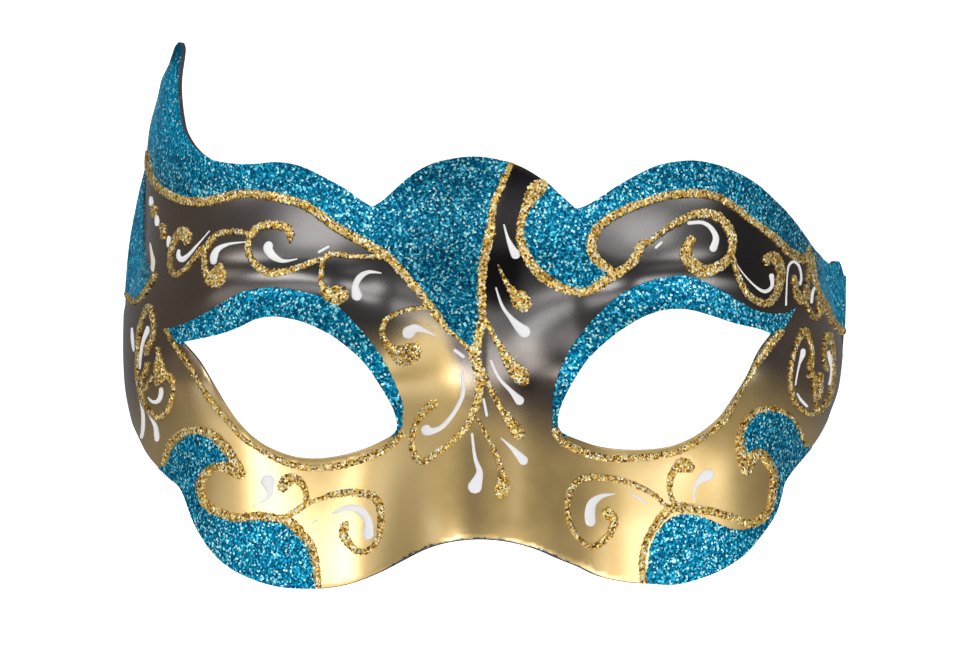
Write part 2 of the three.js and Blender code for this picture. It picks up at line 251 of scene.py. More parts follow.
HORN_CHEEK = [
    (-19.8, -57.3), (-24.5, -59.9), (-30.4, -62.5), (-36.3, -63.8), (-42.1, -64.05), (-48, -63.65),
    (-54, -62.05), (-59.9, -59.2), (-64.4, -55.1), (-67.8, -49.9), (-69.5, -46), (-70.6, -42.9),
    (-72, -40.4), (-74.5, -38.4), (-78.1, -35.3), (-80.8, -32.2), (-83.1, -28.1), (-84.7, -25.1)]
HORN_SIDE_EYE = [
    (-70.8, -6.4), (-66.9, -10.8), (-63.1, -16.9), (-59.3, -22.9), (-55.5, -27.3), (-51.2, -30.5),
    (-45.5, -32.8), (-39.8, -33.5), (-33.7, -32.8), (-28.1, -31.2), (-23.5, -29.1), (-21.1, -27.5),
    (-20.5, -25.6), (-21.6, -21.6), (-24.4, -16.7), (-27.7, -11.8), (-31.4, -8.1), (-35.6, -4.9),
    (-40.2, -2.5), (-44.4, -1.1), (-49.1, -0.4), (-53.4, -1.1), (-57.7, -3.1), (-63, -4.8),
    (-70.8, -6.4)]
PLAIN_SIDE_EYE = [
    (67.3, -4.5), (63.6, -3.2), (58.3, -2), (53, -0.3), (47.8, 1.1), (43.1, 1.3), (38.4, 0.2),
    (33.7, -2.2), (29.1, -5.5), (24.4, -9.9), (21.2, -14.5), (18.8, -18.8), (17.3, -22.6),
    (17, -25.4), (17.9, -27.3), (22.1, -29.2), (26.8, -30.7), (32.4, -31.4), (38, -31.4),
    (43.2, -30.7), (48, -28.9), (51.8, -26.5), (55.2, -23.5), (58.5, -18.9), (61.4, -14.5),
    (64.2, -8.6), (67.3, -4.5)]


def evenly(line, step):
    """Points every `step` along a line, without its last point."""
    reach = np.concatenate([[0], np.cumsum(np.linalg.norm(np.diff(line, axis=0), axis=1))])
    wanted = reach[-1] * np.arange(max(round(reach[-1] / step), 1)) / max(round(reach[-1] / step), 1)
    return np.stack([np.interp(wanted, reach, line[:, k]) for k in range(line.shape[1])], -1)


def edge_line(points, step):
    line = spline(points)
    return evenly(np.stack([unroll(line[:, 0], line[:, 1]), line[:, 1]], -1), step)


def rim_line(sign, ends, step):
    y = np.linspace(ends[0], ends[1], 200)
    return evenly(np.stack([sign * rim_across(sign, y), y], -1), step)


def mask_loops(step):
    """The outer edge and the two eye openings, laid out on the sheet."""
    horn_end = [(-float(horn_side_rim(HORN_RIM[1])), HORN_RIM[1]), HORN_INNER[0]]
    outline = [rim_line(-1.0, HORN_RIM, step), edge_line(horn_end, step)]
    outline += [edge_line(part, step) for part in (HORN_INNER, MIDDLE_CREST, PLAIN_CREST, SMALL_TIP)]
    outline.append(rim_line(1.0, PLAIN_RIM, step))
    outline += [edge_line(part, step) for part in (PLAIN_CHEEK, NOSE_ARCH, HORN_CHEEK)]
    return [np.vstack(outline), edge_line(HORN_SIDE_EYE, step), edge_line(PLAIN_SIDE_EYE, step)]


def is_inside(loop, x, y):
    inside = np.zeros(np.shape(x), bool)
    for (ax, ay), (bx, by) in zip(loop, np.roll(loop, -1, 0)):
        if ay == by:
            continue
        inside ^= ((ay > y) != (by > y)) & (x < ax + (bx - ax) * (y - ay) / (by - ay))
    return inside


def outward(loops):
    """Unit direction out of the material at each point of each loop, on the sheet."""
    result = []
    for k, loop in enumerate(loops):
        along = np.roll(loop, -1, 0) - np.roll(loop, 1, 0)
        area = np.sum(loop[:, 0] * np.roll(loop[:, 1], -1) - loop[:, 1] * np.roll(loop[:, 0], -1))
        side = np.stack([along[:, 1], -along[:, 0]], -1) * np.sign(area) * (1 if k == 0 else -1)
        result.append(side / np.linalg.norm(side, axis=1, keepdims=True))
    return result


def tree_of(points):
    tree = KDTree(len(points))
    for i, (x, y) in enumerate(points):
        tree.insert((x, y, 0), i)
    tree.balance()
    return tree


def gap_to(points, sheet):
    """Distance on the sheet from each place to the nearest of the points."""
    tree = tree_of(points)
    return np.array([tree.find((x, y, 0))[2] for x, y in sheet])


class Edges:
    """Signed distance on the sheet to the nearest edge of the mask, above zero on the material."""

    def __init__(self, step=0.3):
        loops = mask_loops(step)
        self.points = np.vstack(loops)
        self.out = np.vstack(outward(loops))
        self.tree = tree_of(self.points)

    def inset(self, sheet):
        nearest = np.array([self.tree.find((x, y, 0))[1] for x, y in sheet])
        away = sheet - self.points[nearest]
        side = np.sum(away * self.out[nearest], axis=1)
        return -np.sign(side) * np.hypot(away[:, 0], away[:, 1]), nearest


# Meshes


def finished(name, verts, faces, materials, material_index=None, flat=False):
    """A mesh object that rides on the mask, from points in the face's own millimetres."""
    mesh = bpy.data.meshes.new(name)
    verts = (np.asarray(verts) + SHIFT) * MM
    mesh.from_pydata(verts.tolist(), [], np.asarray(faces).tolist())
    for material in materials:
        mesh.materials.append(material)
    if material_index is not None:
        mesh.polygons.foreach_set("material_index", np.asarray(material_index, np.int32))
    mesh.polygons.foreach_set("use_smooth", np.full(len(mesh.polygons), not flat))
    mesh.update()
    piece = bpy.data.objects.new(name, mesh)
    bpy.context.scene.collection.objects.link(piece)
    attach(piece, "root")
    return piece


def point_value(piece, name, values):
    attribute = piece.data.attributes.new(name, "FLOAT", "POINT")
    attribute.data.foreach_set("value", np.asarray(values, np.float32))


def face_colour(piece, name, colours):
    """One colour for each triangle, held at its corners."""
    attribute = piece.data.color_attributes.new(name, "FLOAT_COLOR", "CORNER")
    rgba = np.ones((len(colours), 3, 4), np.float32)
    rgba[:, :, :3] = colours[:, None, :]
    attribute.data.foreach_set("color", rgba.ravel())


FRONT_PAINT, CUT_PAINT, INSIDE_PAINT = 0, 1, 2


def shell_points():
    """Sheet points of the shell: the inset edge loops first, then rows of a triangular grid."""
    edges = mask_loops(EDGE_STEP)
    inner = [loop - out * EDGE_ROUND for loop, out in zip(edges, outward(edges))]
    border = np.vstack(inner)
    rows = np.arange(-SHEET_RISE, SHEET_RISE, SHELL_STEP * math.sqrt(3) / 2)
    columns = np.arange(-SHEET_REACH, SHEET_REACH, SHELL_STEP)
    y, x = np.meshgrid(rows, columns, indexing="ij")
    x = x + (np.arange(len(x)) % 2)[:, None] * SHELL_STEP / 2
    folds = [(s * FOLD_AT, v) for s in (-1, 1) for v in np.arange(-6, 36, SHELL_STEP * 0.8)]
    grid = np.stack([x.ravel(), y.ravel()], -1)
    grid = grid[np.abs(np.abs(grid[:, 0]) - FOLD_AT) > 0.5 * SHELL_STEP]
    grid = np.vstack([folds, grid])
    grid = grid[is_inside(inner[0], grid[:, 0], grid[:, 1])]
    for hole in inner[1:]:
        grid = grid[~is_inside(hole, grid[:, 0], grid[:, 1])]
    clear = gap_to(border, grid) > 0.6 * SHELL_STEP
    return edges, inner, np.vstack([border, grid[clear]])


def triangulated(points, loops):
    """Triangles over the sheet points, inside the outline and outside the openings."""
    corners = [Vector(p) for p in points]
    result = delaunay_2d_cdt(corners, [], [], 0, 1e-7)
    origin = [ids[0] for ids in result[3]]
    faces = np.array([[origin[i] for i in face] for face in result[2]])
    middle = points[faces].mean(axis=1)
    keep = is_inside(loops[0], middle[:, 0], middle[:, 1])
    for hole in loops[1:]:
        keep &= ~is_inside(hole, middle[:, 0], middle[:, 1])
    faces = faces[keep]
    a, b, c = points[faces[:, 0]], points[faces[:, 1]], points[faces[:, 2]]
    turn = (b[:, 0] - a[:, 0]) * (c[:, 1] - a[:, 1]) - (b[:, 1] - a[:, 1]) * (c[:, 0] - a[:, 0])
    faces[turn < 0] = faces[turn < 0][:, ::-1]
    return faces


def inward(normal, to_opening):
    """Way from the front to the inner face, nearly straight down beside an eye opening."""
    cut = normal.copy()
    cut[:, 2] += CUT_UPRIGHT * (1 - smooth(0, CUT_REACH, to_opening))
    return cut / np.sum(cut * normal, axis=1, keepdims=True)


def shell_mesh():
    """Points, faces, paint numbers and gaps to the outer edge of the hollow shell with rounded cut edges.
    The walls of the eye openings are painted like the front."""
    edges, inner, sheet = shell_points()
    faces = triangulated(sheet, inner)
    front = front_point(sheet[:, 0], sheet[:, 1])
    normal = front_normal(sheet[:, 0], sheet[:, 1])
    back = front - inward(normal, gap_to(np.vstack(edges[1:]), sheet)) * WALL
    back[:, 2] = np.maximum(back[:, 2], 0)
    to_edge = [gap_to(edges[0], sheet)] * 2
    verts = [front, back]
    count = len(front)
    triangles = [faces, faces[:, ::-1] + count]
    kinds = [np.full(len(faces), FRONT_PAINT), np.full(len(faces), INSIDE_PAINT)]

    start = 0
    total = 2 * count
    quarter = math.sin(math.pi / 4)
    for k, (edge, loop) in enumerate(zip(edges, inner)):
        n = len(edge)
        tip = front_point(edge[:, 0], edge[:, 1])
        up = front_normal(edge[:, 0], edge[:, 1])
        lip = front[start:start + n]
        root = back[start:start + n]
        if k == 0:
            level = up.copy()
            level[tip[:, 2] < 0.01, 2] = 0
            depth = level / np.sum(level * up, axis=1, keepdims=True)
        else:
            depth = inward(up, np.zeros(n))
        out = tip - lip
        rings = [
            lip + out * quarter - depth * EDGE_ROUND * (1 - quarter),
            tip - depth * EDGE_ROUND,
            tip - depth * WALL * 0.5,
            tip - depth * (WALL - EDGE_ROUND),
        ]
        for ring in rings:
            ring[:, 2] = np.maximum(ring[:, 2], 0)
            verts.append(ring)
            to_edge.append(np.full(n, 0.0 if k == 0 else WALL))
        ids = [np.arange(n) + start] + [np.arange(n) + total + j * n for j in range(len(rings))]
        ids.append(np.arange(n) + start + count)
        area = np.sum(loop[:, 0] * np.roll(loop[:, 1], -1) - loop[:, 1] * np.roll(loop[:, 0], -1))
        forward = (area > 0) == (k == 0)
        for j, (upper, lower) in enumerate(zip(ids[:-1], ids[1:])):
            a, b = (upper, np.roll(upper, -1)) if forward else (np.roll(upper, -1), upper)
            c, d = (lower, np.roll(lower, -1)) if forward else (np.roll(lower, -1), lower)
            triangles += [np.stack([b, a, c], -1), np.stack([b, c, d], -1)]
            kinds.append(np.full(2 * n, FRONT_PAINT if j == 0 or k > 0 else CUT_PAINT))
        start += n
        total += n * len(rings)
    return np.vstack(verts), np.vstack(triangles), np.concatenate(kinds), np.concatenate(to_edge)


# Painted design, in photograph pixels as (x, y) or (x, y, width); a missing width is filled in


GOLD_LINES = [
    # border of the horn side
    [(148, 153, 5), (150, 171.5), (157, 185, 7), (169, 194.5), (184, 200.6, 8.5), (204, 202), (222.5, 198),
     (242, 194), (261, 195), (284, 199), (304, 205, 9), (320, 215), (337, 228), (355, 238), (371, 247),
     (383.5, 254), (395, 264, 9), (407, 278), (419, 291), (428, 303.5, 9), (438, 316, 9), (447, 329, 6),
     (456, 336, 4), (468, 348, 6), (475, 354, 10)],
    # first curl
    [(187, 244, 4), (185, 234, 13), (178, 236, 8), (173, 245, 4.5), (170.5, 257, 4), (171, 268, 4.5),
     (175.5, 275, 5), (184, 270.5, 4), (193.5, 260, 4), (201.5, 251, 6), (208, 246, 6), (212, 239.5, 5.5),
     (219, 234), (229, 232), (240.5, 232), (249, 235, 5)],
    [(204, 249, 4.5), (204.4, 260), (205.5, 270, 6), (211, 279, 12), (217, 277.5, 20), (221, 266, 6)],
    # second spiral
    [(290, 241, 4), (290, 232, 9), (285, 227, 8), (269, 225, 8), (255.5, 230, 7), (249, 241, 6.5),
     (248.6, 251, 7), (252, 260), (260, 268, 8), (270, 273, 8.5), (285, 271.5, 7), (302, 266, 5.5),
     (319, 260, 5.5), (323, 258.6, 6), (333, 254, 5), (350, 256.5, 4.5), (367, 257, 4.5), (381, 256.5, 5)],
    [(323, 259, 5), (321.7, 270), (321, 281, 5.5), (325, 291, 9), (334, 295, 18), (340, 294, 17)],
    [(425.6, 308, 4.5), (411.5, 309), (397.5, 313, 5), (386, 320), (382, 330, 6), (385, 341, 7),
     (391, 349, 9), (402, 355, 20), (411, 353, 20), (417, 346, 7)],
    # plain side of the wedge and the long curl under it
    [(511, 164, 6), (506, 175.5, 7), (501, 188, 7.5), (495, 201, 8), (492, 214, 8), (491, 229, 10),
     (488, 242, 10), (484.6, 258, 9.5), (482, 278, 9.5), (482, 303, 9), (482, 316, 8.5), (481, 325, 9),
     (478, 341.5, 10), (475, 355, 12), (477, 366, 11), (479.5, 383, 9), (478, 399.5, 8.5), (473, 414, 7),
     (466, 428, 6.5), (455, 439, 6), (443, 449, 6), (431, 457.5, 6.5), (423, 462, 7), (415, 456, 7),
     (412, 443, 6), (414, 429, 6), (420, 416, 7), (428, 408, 9), (434, 404, 10)],
    # border of the plain side
    [(544.5, 183, 8), (538, 188, 17), (531, 198, 14), (526, 208, 10), (521.6, 221, 8.5), (520, 237, 9),
     (524, 251, 10), (532, 265, 10), (542, 276, 11), (556, 285, 10), (569, 290, 9), (585, 291.6, 9),
     (598, 286, 10), (612, 276, 11), (625, 268.6, 9), (634.6, 259, 10), (640, 247.6, 10), (644, 244, 7),
     (652, 240, 5.5), (667, 229, 6), (682, 220, 7.5), (698, 214, 8.5), (713, 215, 9.5), (724.5, 223, 9),
     (731, 236, 9), (732, 249.5, 8), (726, 261, 9), (713, 269, 12), (702, 270.5, 14), (690, 263, 14),
     (686, 251, 12), (691, 241, 10)],
    [(612, 271, 9), (598, 261, 10), (591.6, 249.5, 11), (594, 234, 10), (606, 221, 9), (623, 211, 8.5),
     (642, 203.6, 8), (661, 197, 8), (682, 194, 8.5), (702, 194, 8.5), (719, 198, 8), (734, 207, 7),
     (751, 221, 6.5), (767, 232, 6.5), (780, 243, 7), (788, 251, 8), (796, 256, 9), (802, 258.5, 10),
     (807, 256, 6)],
    [(732, 257, 5), (736, 270.5, 5), (742, 286, 6), (751, 297, 7), (763, 303, 8), (772, 299, 8),
     (779, 284, 8), (780, 269, 9), (774, 257, 10), (767, 259, 9), (766, 264, 5)],
    # bands at the temple of the plain side
    [(808.2, 246.5, 2), (808.4, 252, 5), (810, 259, 7), (811.5, 268, 7), (814, 277, 4.5), (816, 285, 4),
     (819, 292, 3.5), (823, 300, 4), (827, 308, 5), (831, 319, 5), (836.7, 326, 6), (842, 331, 7)],
    [(793.5, 276, 3), (794, 281, 4.5), (795, 288, 6), (797, 296, 7), (801, 300, 9), (805, 296, 9),
     (806.5, 287, 4), (807.5, 279, 3), (809, 271, 4)],
    [(805.8, 304, 3), (808.6, 309, 3), (811.5, 314, 3.5), (815, 317.5, 5), (818.5, 315, 5), (821, 310, 7),
     (820.5, 303, 8), (819, 294, 3)],
    [(807.5, 376.5, 3), (812, 374.5, 4), (810, 368, 5), (810.5, 361, 5), (812, 353.5, 3), (810.7, 345, 3),
     (807.5, 336, 4), (804.4, 330, 6), (799, 338, 5), (795, 348, 3.5), (792.5, 357.5, 3.5), (790.6, 368),
     (790, 379.5, 3.5), (791.5, 390, 4), (794, 400.5, 4.5), (800, 408, 5), (806.5, 412.8, 4.5),
     (813, 413.8, 5), (818, 412, 6), (822.6, 407, 4), (827.4, 402, 4), (830.3, 394.6, 3.2), (832.2, 385, 3),
     (833.2, 373.6), (833.2, 361), (832.2, 348.7, 3), (830.3, 339, 4), (828, 335.5, 7), (825, 344, 3.2),
     (824, 355.4, 3), (824.5, 364, 4), (827.4, 370, 3)],
    [(812, 374, 4), (815, 379.5, 5), (814, 387, 5), (815.5, 396.6, 3.2), (817, 406, 4), (818, 411, 5)],
    [(820.2, 373.6, 4.5), (820.2, 381, 4.5), (819.8, 389, 4), (818.6, 398, 2)],
    # drops down the nose
    [(498.6, 266, 3), (504, 278, 5), (511, 289, 8), (522, 302, 20)],
    [(486, 320, 6), (494, 336.5, 6), (503, 351, 8), (511, 365, 14), (520, 375, 17), (523, 381, 12)],
    [(480, 366, 6), (486, 378, 6), (494, 396, 6.5), (504, 413, 8), (512, 424, 12), (519, 434, 12)],
    [(478, 419, 3), (488, 438, 4), (496, 454, 5), (501, 469, 6), (503, 483, 13), (502, 491, 14)],
    # under the eyes
    [(166.5, 329.7, 4), (169.5, 336), (177, 348, 4.5), (185, 359, 5), (194, 373, 5), (202, 388, 5),
     (209.5, 399, 6), (219.6, 412, 5.5), (229.5, 423, 5), (239.5, 435, 4.5), (254, 446, 5), (271, 456, 6),
     (289, 464, 6.5), (309, 468, 7), (331, 467, 7), (352, 463, 7), (372, 455.5, 7.5), (389, 447, 8),
     (402, 433, 7)],
    [(556, 431, 8), (562, 441, 7), (576, 449, 7.5), (598, 457, 7.5), (617, 459, 7), (640, 458, 7),
     (663, 455, 6.5), (682, 450, 7), (704, 437, 6), (715, 429, 6), (724.5, 419, 8), (730, 410, 6),
     (736, 401, 5), (740.5, 391, 5), (745, 384, 4), (749.7, 377, 5), (754.3, 367.7, 6), (759, 359.5, 7),
     (766, 349.5, 8), (773, 340, 9), (780, 332, 7)],
    # cheek scrolls of the plain side
    [(667, 507, 5), (656, 496.5, 5), (644, 489, 6), (627, 482, 6), (608, 478, 6.5), (589, 477, 7),
     (575, 484, 6.5), (568.6, 496.5, 6), (567.7, 512, 5), (571.5, 527, 4), (581, 540.5, 4.5),
     (591.6, 547, 5.5), (602, 542, 6.5), (610, 533, 7), (614, 520, 9), (608, 513, 13)],
    [(690, 468, 10), (683, 465, 15), (675, 470, 9), (670, 481, 6.5), (670, 493, 5.5), (675, 504, 6),
     (682, 510, 7)],
    [(644, 583.6, 8), (642, 563.5, 7), (645, 546, 7), (652, 531, 8), (663, 516, 9), (675, 507, 9),
     (694, 509, 8.5), (713, 512, 8), (732, 517.6, 8), (747.5, 523, 8.5), (759, 521, 8.5), (768.5, 510, 7),
     (772, 496.5, 6.5), (774, 479, 7), (770, 465, 8), (761, 454, 10), (753, 456, 11), (748, 468, 9),
     (745.5, 470, 10), (741.7, 455, 10), (739.5, 441, 8), (741.7, 428.6, 7), (746.3, 420.6, 6),
     (754.5, 412.5, 5), (764.6, 409, 6), (776, 409.2, 6), (785.3, 413, 4.5), (792, 417.8, 4),
     (797, 425.5, 3.5), (801, 434, 3.5), (805.6, 445, 3.5)],
    # cheek scrolls of the horn side
    [(318, 586, 6), (316, 566, 8), (311, 546, 9), (299, 531, 10), (288, 521, 10), (273, 518, 9),
     (259, 516, 9), (239.5, 518), (223, 514), (210, 508, 9), (202, 496, 8.5), (201, 483, 8.5),
     (206, 473, 8), (218, 466, 9), (230, 469, 11), (240, 474, 11), (235, 462, 10), (226, 448, 10),
     (215, 437, 9), (206, 432, 8), (194, 429.7, 7.5), (183, 432.7, 7.5), (174, 439, 6), (167, 450, 4.5),
     (163.5, 463, 4)],
    [(288, 516, 7), (299, 509), (306, 503, 6), (305, 489.5, 6), (297.5, 480, 9), (288, 480, 13),
     (283, 486, 13)],
    [(306, 504, 5), (319, 499.5, 5), (336, 494, 7), (356, 493, 8), (372, 496, 8), (380, 506, 8),
     (381, 521, 6.5), (379, 536, 6), (372, 548, 6), (360.5, 552, 7), (351, 546, 8), (344, 535, 10),
     (345, 525, 9)],
    # temple of the horn side
    [(127, 294, 4), (133, 301.8, 5), (140.5, 298, 4.5), (147.7, 288.5, 4.5), (152.6, 280, 4),
     (154.5, 274, 4)],
    [(147, 354, 3.5), (147.7, 348, 6), (151.4, 340.6, 5), (153.8, 328.5, 3.5), (152.6, 316.4, 3.5),
     (149.5, 306, 5), (144, 315, 3.5), (140.5, 326, 3), (138.6, 338, 3), (138, 352.7, 2.6), (137.4, 371, 3),
     (139.2, 384, 4), (141, 392.7, 4), (144, 403.6, 3.5), (149.5, 411, 4), (156.8, 417, 6), (164, 414, 5),
     (169, 407.3, 3.5), (172, 396.4, 3), (173.2, 384, 4.5), (168, 376, 8), (161, 374, 12), (159.2, 366, 10),
     (159.2, 357.6, 5), (158, 348, 3)],
    [(157.5, 383, 5), (161, 376, 12), (154, 375.8, 4), (149, 383, 3), (145, 389.5, 2.5)],
    [(147.5, 363.6, 3.5), (146, 371, 4), (143, 379.4, 3), (141.5, 386, 4)],
    [(154, 207.5, 4), (154, 216.5, 4)],
    [(163, 226, 5), (163.5, 237, 5)],
]

WHITE_STROKES = [
    # dots and flicks at the horn side, each from tail to head
    [(151, 198, 3.6), (151.2, 202, 5.2), (151, 205, 4)], [(156.7, 217, 4), (157, 221, 5.4), (157, 225, 4)],
    [(169, 237.5, 3.6), (168.8, 242, 4.8), (168.7, 246.5, 3.8)],
    [(209.5, 231, 1), (200, 242, 2), (189, 254.5, 4), (182, 259.5, 6), (178.5, 256, 5), (179, 250, 3)],
    [(245, 242, 1.6), (229, 244, 3), (218, 249, 6), (214, 256, 8), (213.5, 262, 7)],
    [(297, 259, 1.5), (283, 261, 4), (273, 256, 8), (268, 249, 9.5), (269, 245, 9)],
    [(381, 273, 1.5), (369, 272, 4), (360, 277, 6.5), (355.5, 286, 7), (357, 296, 11.5)],
    [(319, 252, 3), (329, 246.5, 3)],
    [(436, 336, 1), (425, 331, 4), (415, 328.5, 9), (408, 333, 13.5)],
    [(455, 350.5, 4), (464, 357, 4)],
    [(504, 225, 2), (508, 239, 4), (513, 250, 8), (516, 254.5, 11)],
    [(496, 288, 2), (502, 305.6, 3.5), (510, 317, 5), (519, 327, 10), (525, 332, 13)],
    [(491, 361, 3), (499, 378, 3.6), (511, 391, 5), (520, 401, 10)],
    [(483.6, 399.5, 3), (487, 416, 3.4)],
    [(501, 438, 1.4), (513, 449, 5), (524, 461, 10)],
    [(472, 434, 3), (475, 457.5, 4), (479.5, 472, 7), (476, 484, 13), (474.5, 487, 15)],
    [(462, 373, 3.6), (463, 393, 4.5), (455, 411, 4.5), (443, 426, 5), (432, 431, 7), (426, 430, 12)],
    # forehead and temple of the plain side
    [(656, 247.5, 3), (662, 242, 3)],
    [(689, 223, 4), (702, 222.5, 4), (711, 228, 5), (716, 238, 6.5), (713, 249, 8)],
    [(732, 256, 1.2), (742, 272, 1.6), (755, 286, 2.4), (765, 291.5, 4), (772, 286, 3.6), (771.5, 275, 5.5)],
    [(786, 305, 2), (786.5, 289.6, 1.8), (787.2, 275.6, 1.8), (788.6, 266, 2.4), (793.2, 261.6, 3.4),
     (797.6, 264, 3), (800.2, 270, 2.4), (801.2, 278, 2.4), (799.8, 285, 3)],
    [(816.5, 285, 3), (813.5, 289.6, 3), (812, 295.3, 3.4), (811.4, 303, 3)],
    [(795.4, 385, 1.8), (797.3, 373.6, 2), (799.7, 363, 2.6), (802.6, 355, 5.5), (803.2, 350, 5)],
    [(797.3, 393.7, 2), (801, 400, 3), (807.3, 406.6, 3)],
    [(828.4, 352, 3.4), (830.3, 360, 4.6), (831.7, 368, 3.6), (830.8, 377.4, 2.6), (828.9, 385, 2.4)],
    # cheeks
    [(614.5, 494, 1.4), (602, 496, 5), (592.5, 503, 9), (590, 513, 11), (590.6, 522, 11)],
    [(633, 495, 3), (647, 503, 3)],
    [(694, 502, 2), (694, 491, 3.4), (698, 482, 6), (705, 476.5, 11), (709, 474.5, 12)],
    [(331, 514.5, 2), (347, 508, 6), (360, 510.5, 9), (368, 521, 9), (368, 535, 12)],
    [(253, 506, 1), (263, 501.5, 2.4), (270, 494, 6), (267.5, 481, 15)],
    [(312, 523.5, 2), (317, 520, 2.6)],
    # temple of the horn side
    [(132, 328.5, 2.2), (132.6, 340.6, 3.6), (133.8, 351.5, 2)],
    [(139.8, 368.5, 2.2), (141, 352.7, 3.2), (143.5, 340.6, 4), (147, 331.5, 5.5), (147.7, 327, 3.4)],
    [(148.3, 397.6, 1.6), (153, 402, 3.6), (158.5, 400.5, 5), (161, 394, 5), (161, 388.5, 4.6)],
    [(139.8, 399, 1.4), (142.9, 413.3, 3.6), (142.9, 428, 4), (141.5, 438, 3.4)],
    [(148.9, 414.5, 1.6), (155, 425.5, 4.4), (156.8, 436, 5.6), (156.8, 440, 4.6)],
]
# Painted shade: this white stroke on the steep horn-side temple gets a darker cream copy of the white paint
SHADED_WHITE_STROKES = [[(150, 243, 1.5), (151.5, 252, 3), (153, 261, 4.6), (152.6, 268, 4), (153, 272, 2)]]

# Blue glitter fields; each runs past the edge of the mask where it ends there
LEFT_BORDER, WEDGE_SIDE, RIGHT_BORDER, RIGHT_LOOP, CHEEK_SCROLL = (
    [point[:2] for point in GOLD_LINES[k]] for k in (0, 6, 7, 8, 25))
TEAL_FIELDS = {
    "horn": LEFT_BORDER + WEDGE_SIDE[13::-1]
    + [(520, 120), (480, 60), (200, 20), (120, 20), (120, 120), (144, 148)],
    "crest": RIGHT_BORDER[:14] + RIGHT_LOOP
    + [(812, 244), (830, 240), (800, 120), (600, 120), (560, 170)],
    "horn_lid": [
        (166, 326), (168, 328), (191, 320), (207, 311), (223, 301.5), (240.5, 292), (258, 288), (275, 287),
        (292, 289), (325, 297), (345, 312), (362, 330), (380, 353), (390, 371), (398, 388), (404, 404.5),
        (403.5, 416), (401, 430), (388, 436), (350, 400), (260, 360), (184, 346), (172, 335)],
    "plain_lid": [
        (553, 427), (551.6, 408), (554, 388), (561, 366), (572, 345), (585, 328), (604, 307), (623, 292),
        (642, 283), (663, 277), (684, 275), (702, 280), (723, 290), (740, 301), (757, 310), (774, 312.8),
        (786, 311.8), (793, 308.6), (796.7, 305.8), (791, 317.7), (786.8, 324.7), (781, 331), (772, 340),
        (740, 360), (650, 400), (572, 436), (560, 433)],
    "horn_cheek": [(318, 600)] + CHEEK_SCROLL[1:14] + [
        (234, 466), (226, 448), (215, 439), (206, 435), (194, 433), (185, 437), (176, 444), (170, 453),
        (164, 466), (140, 480), (180, 580), (250, 620)],
    "plain_cheek": [
        (646, 600), (647.5, 565), (650, 546), (657, 531), (667, 520), (680, 514), (697, 515), (712, 520),
        (730, 527.5), (744, 529.5), (757, 523), (768, 511), (772, 497), (774, 479), (770, 465), (761, 455),
        (752, 458), (744, 458), (740, 441), (742, 429), (748, 421), (757, 413.5), (766, 410), (776, 410),
        (785, 414), (791, 418), (796, 426), (800, 434), (805, 446), (830, 460), (800, 580), (700, 620)],
    "horn_strip": [
        (147, 160), (144.5, 200), (144, 235), (146, 255), (150, 268), (152.5, 273.5), (150, 282),
        (146, 290), (140, 297), (133, 300.5), (127, 294), (110, 296), (110, 150), (140, 140)],
    "tip": [
        (809, 247), (813, 255), (815, 266), (817.4, 279), (820.5, 289), (824, 297), (830, 308.6), (836, 319),
        (844, 329), (865, 330), (865, 240), (830, 235)],
}

# Airbrushed black over the gold: (x, y where it fades out, softness) across the photograph
SOOT_EDGE = [
    (120, 430, 40), (150, 405, 56), (185, 388, 58), (250, 372, 50), (380, 342, 24), (425, 322, 22),
    (442, 332, 24), (452, 356, 30), (462, 392, 34), (480, 410, 36), (500, 412, 36), (520, 424, 40),
    (550, 434, 40), (600, 420, 40), (750, 382, 36), (785, 396, 36), (830, 428, 34), (850, 430, 30)]
# A faint dark stripe down the middle of the nose, painted shade that deepens the dark reflection along its
# ridge
NOSE_SHADE_X, NOSE_SHADE_HALF, NOSE_SHADE_Y, NOSE_SHADE_DEPTH = 474, 15, (395, 440), 0.36
# The black turns brown towards both temples, down the bridge of the nose and all over the lower half
HORN_TEMPLE_X, PLAIN_TEMPLE_X, LOWER_HALF_Y = (280, 150), (740, 820), (400, 440)
BRIDGE_X, BRIDGE_HALF, BRIDGE_Y = 520, 90, (320, 400)
# Deepest black without sheen beside the wedge and above the plain temple; in the fold beside the plain eye
# it is painted shade
JET_STRIP, JET_SOFT = [(530, 165), (508, 230), (499, 285)], (34, 12)
PAINTED_FOLD_SHADE, PAINTED_FOLD_SHADE_HALF = [(527, 384), (540, 372), (562, 358)], 13
JET_TEMPLE_X, JET_TEMPLE_Y = (700, 725), (330, 290)
# The cut edge is worn at the nose arch, in millimetres from the middle
ARCH_HALF, ARCH_TOP = (26, 18), (-44, -50)

# Blue glitter is plain on the horn, on the strip below it and at the small tip, and brighter there as
# painted light on those steep faces; dark at the point of the horn, and darker in the wedge
HORN_X, HORN_Y, HORN_POINT_Y = (300, 250), (190, 130), (80, 48)
STRIP_X, TIP_X = (146, 140), (818, 822)
WEDGE_X, WEDGE_HALF = 445, 60


def filled(stroke, spread):
    """The line's points with the missing widths interpolated by index, all wider by `spread`."""
    known = [(i, p[2]) for i, p in enumerate(stroke) if len(p) > 2]
    widths = np.interp(range(len(stroke)), [k[0] for k in known], [k[1] for k in known])
    return [(p[0], p[1], max(w + spread, 1.0)) for p, w in zip(stroke, widths)]


